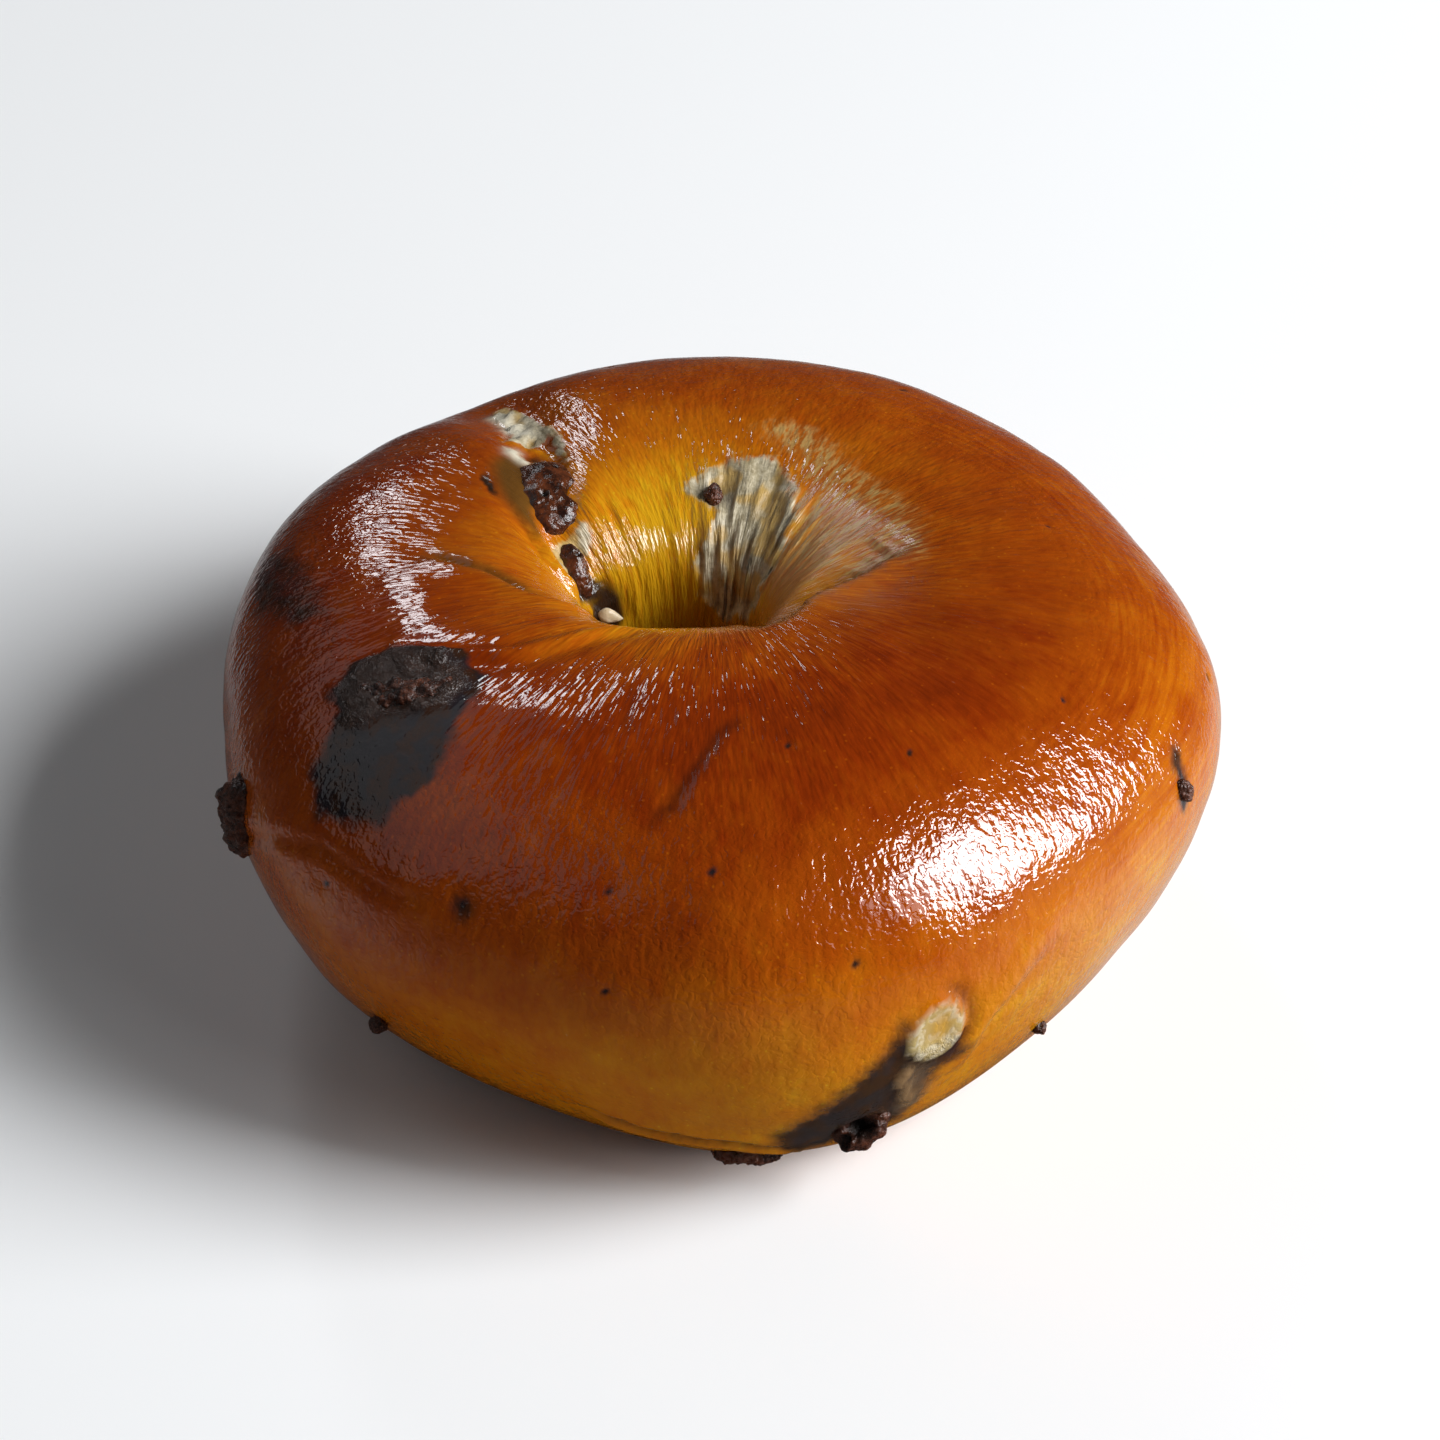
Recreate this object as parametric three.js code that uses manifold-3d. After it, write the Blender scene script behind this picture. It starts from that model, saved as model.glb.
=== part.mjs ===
// A chocolate-chip bagel, in millimetres, +Z up.
// The dough is one ring of bread. Chocolate pieces and one sesame seed sit in pockets in its crust.
// Two angles place everything on the dough:
//   ring     around the ring in degrees, 0 toward +X and 90 toward +Y
//   section  around the cut dough in degrees, 0 at the widest outside, 90 on the crest,
//            180 at the narrowest of the hole and -90 or 270 on the flat base
import * as THREE from 'three';
import { ParametricGeometry } from 'three/addons/geometries/ParametricGeometry.js';
import { mergeVertices } from 'three/addons/utils/BufferGeometryUtils.js';
import Module from 'manifold-3d';

// Driving dimensions of the dough
const outerRadius = 50.2;
const swells = [
  { ring: 84, spread: 30.6, height: 6.9 },
  { ring: -146.1, spread: 18.8, height: 2.3 },
  { ring: -79.4, spread: 16.6, height: 4.1 },
  { ring: -7.3, spread: 13.6, height: 3.3 },
  { ring: 153.8, spread: 16.7, height: 3.1 },
];
const crestRadius = 27.7;
const crestShift = { x: -0.5, y: 0.6 };
const crestHeight = 41.9;
const crestLean = { x: -0.015, y: -0.092 };
const widestHeight = 26.1;
const baseRadiusRatio = 0.71;
const baseLean = 0.076;
const holeRadius = 8.9;
const holeShift = { x: -3.9, y: 3.7 };
const throatHeight = 30.5;
const holeFlare = 6;
const shoulderPower = 2.1;
const skirtPower = 1.76;
const lipPower = 2.45;
const lipLean = 0.41;
const throatPower = 2;
const coreHeight = 22;

// The seam where the rope of dough was joined, a valley that turns as it runs into the hole
const seam = { ring: 123.5, turn: 21.5, turnFrom: 72, turnTo: 132, depth: 2.8, steepSide: 2.8, slackSide: 3.8 };
const seamEnds = { outerFrom: 26, outerTo: 50, innerFrom: 160, innerTo: 190 };

// Mesh steps and the gap round each piece in its pocket
const ringSteps = 84;
const sectionStep = 10;
const pieceDetail = 2;
const pocketGap = 0.35;

// Chocolate pieces: size is along the ring, along the section and through the crust.
// lift is how far the centre stands above the crust, turn is in degrees about the crust's normal.
const chocolatePieces = [
  { name: 'seam_chunk_upper', ring: 133.5, section: 102, size: [7, 11.5, 5], lift: -0.6, turn: -32, seed: 1 },
  { name: 'seam_chunk_lower', ring: 144.5, section: 156, size: [3.2, 6.5, 3.2], lift: -0.5, turn: -4, seed: 2 },
  { name: 'hole_wall_chunk', ring: 90, section: 120, size: [1.7, 2.4, 2], lift: -0.5, turn: 15, seed: 3 },
  { name: 'left_top_chunk', ring: -145, section: 72, size: [12.5, 5, 3.6], lift: -1.1, turn: 47, seed: 4 },
  { name: 'left_side_chunk', ring: -156, section: 3, size: [5, 8.5, 4.6], lift: -0.9, turn: 8, seed: 5 },
  { name: 'front_chunk', ring: -72.8, section: -43, size: [6, 8, 5], lift: -0.9, turn: -18, seed: 6 },
  { name: 'front_base_chunk', ring: -86, section: -54, size: [7.5, 2.8, 2.8], lift: -0.6, turn: 4, seed: 7 },
  { name: 'right_side_chunk', ring: -23, section: 12, size: [1.5, 3.4, 1.8], lift: -0.4, turn: 24, seed: 8 },
  { name: 'left_base_nub', ring: -132.5, section: -32, size: [1.8, 1.5, 2], lift: 0.1, turn: 0, seed: 9 },
  { name: 'right_base_fleck', ring: -48, section: -34, size: [1.5, 1.2, 1.6], lift: 0.1, turn: 0, seed: 10 },
];
const sesame = { ring: 141.6, section: 183, length: 2.9, width: 1.7, thickness: 1.1, lift: 0.6, turn: 146, tip: 40 };

const radians = THREE.MathUtils.degToRad;
const smoothstep = THREE.MathUtils.smoothstep;
const lerp = THREE.MathUtils.lerp;

// Degrees from one ring angle to another, the short way round
function ringDifference(ring, centre) {
  return THREE.MathUtils.euclideanModulo(ring - centre + 180, 360) - 180;
}

// Radii and heights that bound the dough's section at one ring angle
function sectionLimits(ring) {
  const c = Math.cos(radians(ring));
  const s = Math.sin(radians(ring));
  let outer = outerRadius;
  for (const swell of swells) {
    outer += swell.height * Math.exp(-0.5 * (ringDifference(ring, swell.ring) / swell.spread) ** 2);
  }
  // The hole is a true circle whose centre is off the ring's axis
  const along = holeShift.x * c + holeShift.y * s;
  const offAxis = holeShift.x ** 2 + holeShift.y ** 2;
  const hole = along + Math.sqrt(holeRadius ** 2 - offAxis + along ** 2);
  return {
    outer,
    hole,
    crest: crestRadius + crestShift.x * c + crestShift.y * s,
    top: crestHeight * (1 + crestLean.x * c + crestLean.y * s),
    baseOuter: outer * baseRadiusRatio * (1 + baseLean * c),
    baseInner: hole + holeFlare,
    lip: lipPower - lipLean * s,
  };
}

// Radius and height on the plain dough, as four superellipse quarters
function sectionPoint(limits, section) {
  const c = Math.abs(Math.cos(radians(section)));
  const s = Math.abs(Math.sin(radians(section)));
  const quarter = (endRadius, sideRadius, sideHeight, endHeight, power) => ({
    radius: lerp(endRadius, sideRadius, c ** (2 / power)),
    height: lerp(sideHeight, endHeight, s ** (2 / power)),
  });
  if (section < 0) return quarter(limits.baseOuter, limits.outer, widestHeight, 0, skirtPower);
  if (section <= 90) return quarter(limits.crest, limits.outer, widestHeight, limits.top, shoulderPower);
  if (section <= 180) return quarter(limits.crest, limits.hole, throatHeight, limits.top, limits.lip);
  return quarter(limits.baseInner, limits.hole, throatHeight, 0, throatPower);
}

// How deep the seam's valley is at a place on the dough, given its distance from the axis
function seamDepth(ring, section, radius) {
  const centre = seam.ring + seam.turn * smoothstep(section, seam.turnFrom, seam.turnTo);
  const across = radians(ringDifference(ring, centre)) * radius;
  const width = across > 0 ? seam.steepSide : seam.slackSide;
  const outerEnd = smoothstep(section, seamEnds.outerFrom, seamEnds.outerTo);
  const innerEnd = 1 - smoothstep(section, seamEnds.innerFrom, seamEnds.innerTo);
  return seam.depth * Math.exp(-((across / width) ** 2)) * outerEnd * innerEnd;
}

// A point on the dough's surface
function doughPoint(ring, section) {
  const limits = sectionLimits(ring);
  const { radius, height } = sectionPoint(limits, section);
  const core = { radius: (limits.outer + limits.hole) / 2, height: coreHeight };
  const reach = Math.hypot(radius - core.radius, height - core.height);
  const inward = seamDepth(ring, section, radius) / reach;
  const sunkRadius = lerp(radius, core.radius, inward);
  const sunkHeight = lerp(height, core.height, inward);
  return new THREE.Vector3(
    sunkRadius * Math.cos(radians(ring)), sunkRadius * Math.sin(radians(ring)), sunkHeight);
}

// The closed surface of the dough: the sections run from the base's outer edge round to its inner edge,
// and the last strip closes the flat base
function doughSurface() {
  const stations = [];
  for (let section = -90; section <= 270; section += sectionStep) stations.push(section);
  const place = (u, v, target) => {
    const ring = (Math.round(u * ringSteps) % ringSteps) * (360 / ringSteps);
    const station = Math.round(v * stations.length) % stations.length;
    target.copy(doughPoint(ring, stations[station]));
  };
  return new ParametricGeometry(place, ringSteps, stations.length);
}

// A matrix that stands +Z on the crust's normal, with +X along the ring, turned about the normal and then
// tipped so that +X stands out of the crust
function crustFrame({ ring, section, lift, turn, tip = 0 }) {
  const step = 1.5;
  const origin = doughPoint(ring, section);
  const alongRing = doughPoint(ring + step, section).sub(doughPoint(ring - step, section)).normalize();
  const alongSection = doughPoint(ring, section + step).sub(doughPoint(ring, section - step));
  const normal = new THREE.Vector3().crossVectors(alongRing, alongSection).normalize();
  alongSection.crossVectors(normal, alongRing);
  const frame = new THREE.Matrix4().makeBasis(alongRing, alongSection, normal);
  frame.multiply(new THREE.Matrix4().makeRotationZ(radians(turn)));
  frame.multiply(new THREE.Matrix4().makeRotationY(radians(-tip)));
  return frame.setPosition(origin.addScaledVector(normal, lift));
}

// An irregular lump, grown by a margin to make its pocket
function lumpGeometry([length, width, thickness], seed, margin) {
  const geometry = new THREE.IcosahedronGeometry(1, pieceDetail);
  const position = geometry.getAttribute('position');
  const point = new THREE.Vector3();
  const half = new THREE.Vector3(length, width, thickness).multiplyScalar(0.5);
  for (let i = 0; i < position.count; i += 1) {
    point.fromBufferAttribute(position, i);
    const knobs = Math.sin(3.1 * point.x + 1.7 * seed) * Math.sin(3.7 * point.y + 2.3 * seed)
      + 0.6 * Math.sin(5.3 * point.z + 4.1 * point.x + seed);
    const grown = half.clone().multiplyScalar(1 + 0.11 * knobs).addScalar(margin);
    point.multiply(grown);
    position.setXYZ(i, point.x, point.y, point.z);
  }
  return geometry;
}

// A flat teardrop with its point toward +X
function seedGeometry({ length, width, thickness }, margin) {
  const outline = new THREE.SplineCurve([
    new THREE.Vector2(0, -0.5 * length - margin),
    new THREE.Vector2(0.36 * width + margin, -0.36 * length),
    new THREE.Vector2(0.5 * width + margin, -0.1 * length),
    new THREE.Vector2(0.24 * width + margin, 0.3 * length),
    new THREE.Vector2(0, 0.5 * length + margin),
  ]);
  const profile = outline.getPoints(12);
  profile[0].x = 0;
  profile[profile.length - 1].x = 0;
  const geometry = new THREE.LatheGeometry(profile, 14);
  geometry.scale(1, 1, (thickness + 2 * margin) / (width + 2 * margin));
  return geometry.rotateZ(radians(-90));
}

const wasm = await Module();
wasm.setup();

// A geometry as a solid for cutting
function toSolid(geometry) {
  const plain = geometry.clone();
  plain.deleteAttribute('normal');
  plain.deleteAttribute('uv');
  const merged = mergeVertices(plain);
  return new wasm.Manifold(new wasm.Mesh({
    numProp: 3,
    vertProperties: new Float32Array(merged.getAttribute('position').array),
    triVerts: new Uint32Array(merged.getIndex().array),
  }));
}

// A cut solid as a geometry
function toGeometry(solid) {
  const { vertProperties, triVerts } = solid.getMesh();
  const geometry = new THREE.BufferGeometry();
  geometry.setAttribute('position', new THREE.BufferAttribute(vertProperties, 3));
  geometry.setIndex(new THREE.BufferAttribute(triVerts, 1));
  geometry.computeVertexNormals();
  return geometry;
}

const crust = new THREE.MeshStandardMaterial({ color: 0x9a3f0a, roughness: 0.28, metalness: 0 });
const chocolate = new THREE.MeshStandardMaterial({ color: 0x2b1b16, roughness: 0.42, metalness: 0 });
const seedHull = new THREE.MeshStandardMaterial({ color: 0xc8b48c, roughness: 0.5, metalness: 0 });

function namedMesh(name, geometry, material) {
  const mesh = new THREE.Mesh(geometry, material.clone());
  mesh.name = name;
  return mesh;
}

// The pieces in the crust, and the dough with a pocket for each of them
const pieces = [];
let dough = toSolid(doughSurface());
for (const piece of chocolatePieces) {
  const frame = crustFrame(piece);
  pieces.push(namedMesh(piece.name, lumpGeometry(piece.size, piece.seed, 0).applyMatrix4(frame), chocolate));
  dough = dough.subtract(toSolid(lumpGeometry(piece.size, piece.seed, pocketGap).applyMatrix4(frame)));
}
const seedFrame = crustFrame(sesame);
pieces.push(namedMesh('sesame_seed', seedGeometry(sesame, 0).applyMatrix4(seedFrame), seedHull));
dough = dough.subtract(toSolid(seedGeometry(sesame, pocketGap).applyMatrix4(seedFrame)));

// The origin is under the middle of the finished bagel, on the surface it stands on
const bagel = new THREE.Group();
bagel.add(namedMesh('bagel', toGeometry(dough), crust), ...pieces);
const extent = new THREE.Box3().setFromObject(bagel, true);
bagel.position.set(-(extent.min.x + extent.max.x) / 2, -(extent.min.y + extent.max.y) / 2, -extent.min.z);

const group = new THREE.Group();
group.add(bagel);
export default group;
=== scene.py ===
"""A chocolate chip bagel, finished round its CAD frame. Lengths are in metres, angles in degrees.

A place on the dough is (ring, tilt): ring runs round the bagel, 0 toward +X and 90 toward +Y, and tilt runs
round the cut dough, 0 outward, 90 up, 180 toward the hole, as seen from the middle of the dough."""

import math

import bpy
import numpy as np
from bpy.props import FloatProperty, FloatVectorProperty, IntProperty, PointerProperty
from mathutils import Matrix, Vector, noise
from mathutils.bvhtree import BVHTree


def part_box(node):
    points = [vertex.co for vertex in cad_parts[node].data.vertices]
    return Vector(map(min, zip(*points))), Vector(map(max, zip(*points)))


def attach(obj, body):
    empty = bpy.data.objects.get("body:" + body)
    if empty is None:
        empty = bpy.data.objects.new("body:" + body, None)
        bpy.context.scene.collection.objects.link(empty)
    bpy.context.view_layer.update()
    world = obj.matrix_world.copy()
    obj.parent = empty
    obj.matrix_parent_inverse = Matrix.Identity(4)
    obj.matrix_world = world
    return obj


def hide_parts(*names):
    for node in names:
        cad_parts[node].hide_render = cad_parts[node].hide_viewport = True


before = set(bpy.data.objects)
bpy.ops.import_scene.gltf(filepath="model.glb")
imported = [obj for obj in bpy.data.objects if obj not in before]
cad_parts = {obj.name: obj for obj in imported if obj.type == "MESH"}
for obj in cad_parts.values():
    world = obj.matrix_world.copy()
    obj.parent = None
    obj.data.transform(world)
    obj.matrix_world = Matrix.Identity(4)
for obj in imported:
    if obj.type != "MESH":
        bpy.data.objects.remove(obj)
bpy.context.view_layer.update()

bl_info = {
    "name": "Chocolate Chip Bagel",
    "version": (1, 0, 0),
    "blender": (4, 5, 0),
    "location": "View3D > Sidebar > Bagel",
    "description": "Builds a glossy chocolate chip bagel round its CAD frame",
    "category": "Object",
}

MM = 0.001
CHUNKS = [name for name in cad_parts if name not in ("bagel", "sesame_seed")]
POCKET_REACH = 0.9 * MM
CORE_RADIUS = 29 * MM
CORE_HEIGHT = 22 * MM
RING_CENTRE = Vector((-0.82, -1.55, 0)) * MM


# ---------------------------------------------------------------- settings


class BagelDough(bpy.types.PropertyGroup):
    ring_segments: IntProperty(name="Ring segments", default=96,
                               description="Faces round the ring before subdivision")
    section_segments: IntProperty(name="Section segments", default=60,
                                  description="Faces round the dough before subdivision")


class BagelStage(bpy.types.PropertyGroup):
    elevation: FloatProperty(name="Camera elevation", default=math.radians(41), subtype="ANGLE",
                             description="Height of the view above the horizon")
    distance: FloatProperty(name="Camera distance", default=0.3364, unit="LENGTH",
                            description="From the camera to its aim point")
    lens: FloatProperty(name="Lens", default=80.26,
                        description="Focal length in millimetres, on a sensor 36 mm wide")
    aim: FloatVectorProperty(name="Aim point", default=(-0.0001, -0.0053, 0.025), subtype="XYZ",
                             description="Where the camera looks")


# ---------------------------------------------------------------- small tools


def pick_only(thing):
    """Deselects everything, then selects and activates one object."""
    bpy.ops.object.select_all(action="DESELECT")
    thing.select_set(True)
    bpy.context.view_layer.objects.active = thing


def apply_modifier(thing, kind, **settings):
    """Adds a modifier with these settings and applies it."""
    modifier = thing.modifiers.new(kind.title(), kind)
    for key, value in settings.items():
        setattr(modifier, key, value)
    pick_only(thing)
    bpy.ops.object.modifier_apply(modifier=modifier.name)


def copy_of(node, name):
    """A merged copy of a CAD node's mesh as its own object."""
    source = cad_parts[node]
    thing = bpy.data.objects.new(name, source.data.copy())
    bpy.context.scene.collection.objects.link(thing)
    pick_only(thing)
    bpy.ops.object.mode_set(mode="EDIT")
    bpy.ops.mesh.select_all(action="SELECT")
    bpy.ops.mesh.remove_doubles(threshold=1e-6)
    bpy.ops.object.mode_set(mode="OBJECT")
    return thing


def vertex_array(mesh, what="co"):
    """The mesh's vertex places, or its vertex normals, as rows of three numbers."""
    flat = np.empty(len(mesh.vertices) * 3)
    if what == "co":
        mesh.vertices.foreach_get("co", flat)
    else:
        mesh.vertex_normals.foreach_get("vector", flat)
    return flat.reshape(-1, 3)


def set_places(mesh, places):
    """Moves every vertex of the mesh to its new place."""
    mesh.vertices.foreach_set("co", places.ravel())
    mesh.update()


def store(mesh, name, values):
    """Keeps one number, or one vector, per vertex for the material to read."""
    kind = "FLOAT" if values.ndim == 1 else "FLOAT_VECTOR"
    layer = mesh.attributes.new(name, kind, "POINT")
    layer.data.foreach_set("value" if values.ndim == 1 else "vector", values.astype(np.float32).ravel())


def ring_and_tilt(places):
    """The ring and tilt angles of places, in degrees."""
    x = places[:, 0] - RING_CENTRE.x
    y = places[:, 1] - RING_CENTRE.y
    ring = np.degrees(np.arctan2(y, x))
    tilt = np.degrees(np.arctan2(places[:, 2] - CORE_HEIGHT, np.hypot(x, y) - CORE_RADIUS))
    return ring, tilt


def middle_of(low, high):
    """The middle of a box, from its two corners."""
    return (np.array(low) + np.array(high)) / 2


def turn_between(angle, centre):
    """Degrees from centre to angle, the short way round."""
    return (angle - centre + 180) % 360 - 180


def smooth(low, high, value):
    """0 below low, 1 above high and a smooth step between."""
    t = np.clip((value - low) / (high - low), 0, 1)
    return t * t * (3 - 2 * t)


# ---------------------------------------------------------------- dough shape


def near_pieces(places, reach):
    """Which places lie within reach of a CAD chunk or of the seed, so in or by its pocket."""
    hidden = np.zeros(len(places), bool)
    for node in CHUNKS + ["sesame_seed"]:
        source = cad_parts[node].data
        corners = [v.co.copy() for v in source.vertices]
        surface = BVHTree.FromPolygons(corners, [p.vertices[:] for p in source.polygons])
        low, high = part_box(node)
        inside = np.all((places > np.array(low) - reach) & (places < np.array(high) + reach), axis=1)
        for i in np.nonzero(inside)[0]:
            hidden[i] |= surface.find_nearest(Vector(places[i]), reach)[0] is not None
    return hidden


def carry_over(depth, hidden):
    """Fills the hidden cells of a grid that wraps both ways, so that its curve runs on through them."""
    cells = np.argwhere(hidden)
    index = {tuple(cell): k for k, cell in enumerate(cells)}
    stencil = {(0, 0): 20}
    stencil.update({way: -8 for way in ((1, 0), (-1, 0), (0, 1), (0, -1))})
    stencil.update({way: 2 for way in ((1, 1), (-1, 1), (1, -1), (-1, -1))})
    stencil.update({way: 1 for way in ((2, 0), (-2, 0), (0, 2), (0, -2))})
    system = np.zeros((len(cells), len(cells)))
    known = np.zeros(len(cells))
    for k, (row, column) in enumerate(cells):
        for (down, across), weight in stencil.items():
            cell = ((row + down) % depth.shape[0], (column + across) % depth.shape[1])
            if cell in index:
                system[k, index[cell]] += weight
            else:
                known[k] -= weight * depth[cell]
    filled = depth.copy()
    filled[hidden] = np.linalg.solve(system, known)
    return filled


def dough_cage(ring_segments, section_segments):
    """A ring that starts as a thin torus inside the dough and is thrown out onto it along its normals."""
    core = RING_CENTRE + Vector((0, 0, CORE_HEIGHT))
    bpy.ops.object.select_all(action="DESELECT")
    bpy.ops.mesh.primitive_torus_add(
        align="WORLD", location=core, major_segments=ring_segments, minor_segments=section_segments,
        major_radius=CORE_RADIUS, minor_radius=5 * MM)
    cage = bpy.context.active_object
    cage.name = "bagel_dough"
    bpy.ops.object.transform_apply(location=True, rotation=True, scale=True)
    thin = vertex_array(cage.data)
    guide = copy_of("bagel", "dough_guide")
    apply_modifier(cage, "SHRINKWRAP", target=guide, wrap_method="PROJECT", use_project_x=False,
                   use_project_y=False, use_project_z=False, use_positive_direction=True,
                   use_negative_direction=False)
    bpy.data.objects.remove(guide)
    thrown = vertex_array(cage.data)
    outward = (thrown - thin) / np.linalg.norm(thrown - thin, axis=1)[:, None]
    shape = (ring_segments, section_segments)
    depth = np.linalg.norm(thrown - thin, axis=1).reshape(shape)
    hidden = near_pieces(thrown, POCKET_REACH).reshape(shape)
    depth = carry_over(depth, hidden)
    set_places(cage.data, thin + outward * depth.reshape(-1, 1))
    apply_modifier(cage, "SMOOTH", factor=0.5, iterations=3)
    apply_modifier(cage, "SUBSURF", levels=2, render_levels=2)
    return cage


class Sculpt:
    """The dough's vertices, moved along their normals and masked by strokes and areas."""

    def __init__(self, mesh):
        self.mesh = mesh
        self.masks = {}
        self.read()

    def read(self):
        """Takes the places, normals and angles from the mesh."""
        self.places = vertex_array(self.mesh)
        self.normals = vertex_array(self.mesh, "normal")
        self.ring, self.tilt = ring_and_tilt(self.places)

    def push(self, amount):
        """Moves the surface out by an amount for each vertex."""
        self.places += self.normals * amount[:, None]
        set_places(self.mesh, self.places)
        self.read()

    def spot(self, ring, tilt):
        """The vertex nearest a place given by its two angles."""
        return int(np.argmin(turn_between(self.ring, ring) ** 2 + turn_between(self.tilt, tilt) ** 2))

    def stroke(self, path, reach=8 * MM):
        """Distance from a smooth path of angles, which side of it, and how far along it from 0 to 1."""
        fine = smooth_path(path)
        points = self.places[[self.spot(ring, tilt) for ring, tilt in fine]]
        points = smooth_path(points, between=1)
        low, high = points.min(0) - reach, points.max(0) + reach
        near = np.nonzero(np.all((self.places > low) & (self.places < high), axis=1))[0]
        distance = np.full(len(self.places), 1.0)
        side = np.zeros(len(self.places))
        along = np.zeros(len(self.places))
        here = self.places[near]
        best = np.full(len(near), 1.0)
        for k in range(len(points) - 1):
            way = points[k + 1] - points[k]
            length = max(way @ way, 1e-12)
            t = np.clip((here - points[k]) @ way / length, 0, 1)
            gap = here - points[k] - t[:, None] * way
            size = np.linalg.norm(gap, axis=1)
            closer = size < best
            best[closer] = size[closer]
            turned = np.einsum("ij,ij->i", np.cross(way, gap), self.normals[near])
            side[near[closer]] = np.sign(turned[closer])
            along[near[closer]] = ((k + t) / (len(points) - 1))[closer]
        distance[near] = best
        return distance, side, along

    def area(self, outline):
        """How far inside an outline of angles each vertex is, in metres, and negative outside it."""
        middle_ring, middle_tilt = outline[0]
        spot = self.places[self.spot(*np.mean([(turn_between(r, middle_ring) + middle_ring, t)
                                               for r, t in outline], axis=0))]
        radius = math.hypot(spot[0] - RING_CENTRE.x, spot[1] - RING_CENTRE.y)
        depth = math.hypot(radius - CORE_RADIUS, spot[2] - CORE_HEIGHT)
        flat = np.radians(turn_between(self.ring, middle_ring)) * radius
        flat = np.stack([flat, np.radians(turn_between(self.tilt, middle_tilt)) * depth], axis=1)
        corners = np.array([(math.radians(turn_between(r, middle_ring)) * radius,
                             math.radians(turn_between(t, middle_tilt)) * depth) for r, t in outline])
        gap = np.full(len(flat), 1.0)
        inside = np.zeros(len(flat), bool)
        for here, there in zip(corners, np.roll(corners, -1, axis=0)):
            way = there - here
            t = np.clip((flat - here) @ way / (way @ way), 0, 1)
            gap = np.minimum(gap, np.linalg.norm(flat - here - t[:, None] * way, axis=1))
            crosses = (here[1] > flat[:, 1]) != (there[1] > flat[:, 1])
            level = here[0] + (flat[:, 1] - here[1]) / (way[1] if way[1] else 1e-12) * way[0]
            inside ^= crosses & (flat[:, 0] < level)
        return np.where(inside, gap, -gap)

    def bead(self, path, height, width, start=0.15, end=0.15):
        """Raises a bead along a path, or presses a groove where the height is negative, in millimetres."""
        distance, side, along = self.stroke(path)
        self.push(height * hump(distance, width * MM) * tapered(along, start, end) * MM)
        return distance, along

    def mask(self, name, values):
        """Adds to a mask, keeping it from 0 to 1."""
        self.masks[name] = np.clip(self.masks.get(name, 0) + values, 0, 1)


def smooth_path(points, between=6):
    """Points on a smooth curve through the given ones."""
    points = np.array(points, float)
    ends = np.vstack([2 * points[0] - points[1], points, 2 * points[-1] - points[-2]])
    made = []
    for k in range(1, len(ends) - 2):
        for t in np.linspace(0, 1, between, endpoint=False):
            p0, p1, p2, p3 = ends[k - 1:k + 3]
            made.append(0.5 * (2 * p1 + (p2 - p0) * t + (2 * p0 - 5 * p1 + 4 * p2 - p3) * t ** 2
                               + (3 * p1 - p0 - 3 * p2 + p3) * t ** 3))
    made.append(points[-1])
    return np.array(made)


def hump(distance, width):
    """1 on a line and fading to nothing about two widths away."""
    return np.exp(-(distance / width) ** 2)


def tapered(along, start=0.15, end=0.15):
    """Fades a stroke in and out over its ends."""
    return smooth(0, start, along) * (1 - smooth(1 - end, 1, along))


def rounded_noise(places, size, seed, detail=2):
    """Soft lumps about one size across, from -1 to 1."""
    shift = Vector((seed * 13.7, seed * 5.1, seed * 9.3))
    return np.array([noise.fractal(Vector(p) / size + shift, 1.0, 2.0, detail) for p in places])


def grain_places(sculpt, ring_count, tilt_count):
    """Places that stretch a pattern into streaks, with this many of them over a radian each way."""
    ring = np.radians(sculpt.ring)
    tilt = np.radians(sculpt.tilt)
    return np.stack([np.cos(ring) * ring_count, np.sin(ring) * ring_count, tilt * tilt_count], axis=1)


def grain_noise(sculpt, ring_count, tilt_count, seed):
    """Streaky lumps along or round the dough, with this many over a radian each way."""
    return rounded_noise(grain_places(sculpt, ring_count, tilt_count), 1.0, seed)


# ---------------------------------------------------------------- dough details


SEAM_EDGE = [(126, 45), (132, 68), (139, 85), (147, 103), (153, 116), (158, 128), (160, 142)]
SEAM_RIGHT = [(119, 45), (120, 75), (121, 93), (126, 111), (137, 124), (140, 135), (138, 150)]
SEAM_FLOOR = [(123, 40), (126, 67), (129, 90), (138, 109), (145, 121), (149, 133), (145, 146), (140, 165)]
HOLE_FOLD = [(174, 84), (179, 101), (183, 110), (190, 117), (194, 125), (188, 138)]
HOLE_LIP = [(-78, 126), (-55, 129), (-32, 133), (-16, 135), (-6, 132), (2, 127), (9, 121), (14, 113),
            (17, 104)]
TAIL_FOLD = [(-156, 74), (-144, 92), (-139, 100), (-136, 110), (-132, 120), (-124, 129)]
CRACK = [(-82, 96), (-88, 90), (-92, 81), (-94, 75), (-96, 68), (-100, 61)]
SHORT_CRACK = [(-108, 103), (-107, 95), (-106, 86)]
SIDE_CREASE = [(-156, 6), (-149, 18), (-141, 29), (-134, 30), (-128, 30), (-122, 34)]
SIDE_STREAK = [(-21, 35), (-22, 29), (-23, 20), (-23, 13)]
RIGHT_RIDGE = [(-48, 22), (-54, 14), (-60, 5), (-62, -6), (-63, -20)]
SKIRT_CREASE = [(-106, -27), (-98, -28), (-91, -28), (-84, -31), (-78, -36)]
SLOT = [(141, 80), (144, 88), (147, 96)]
FLAP_EDGE = [(-69, 1), (-70, -6), (-69, -15), (-67, -26)]

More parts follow.
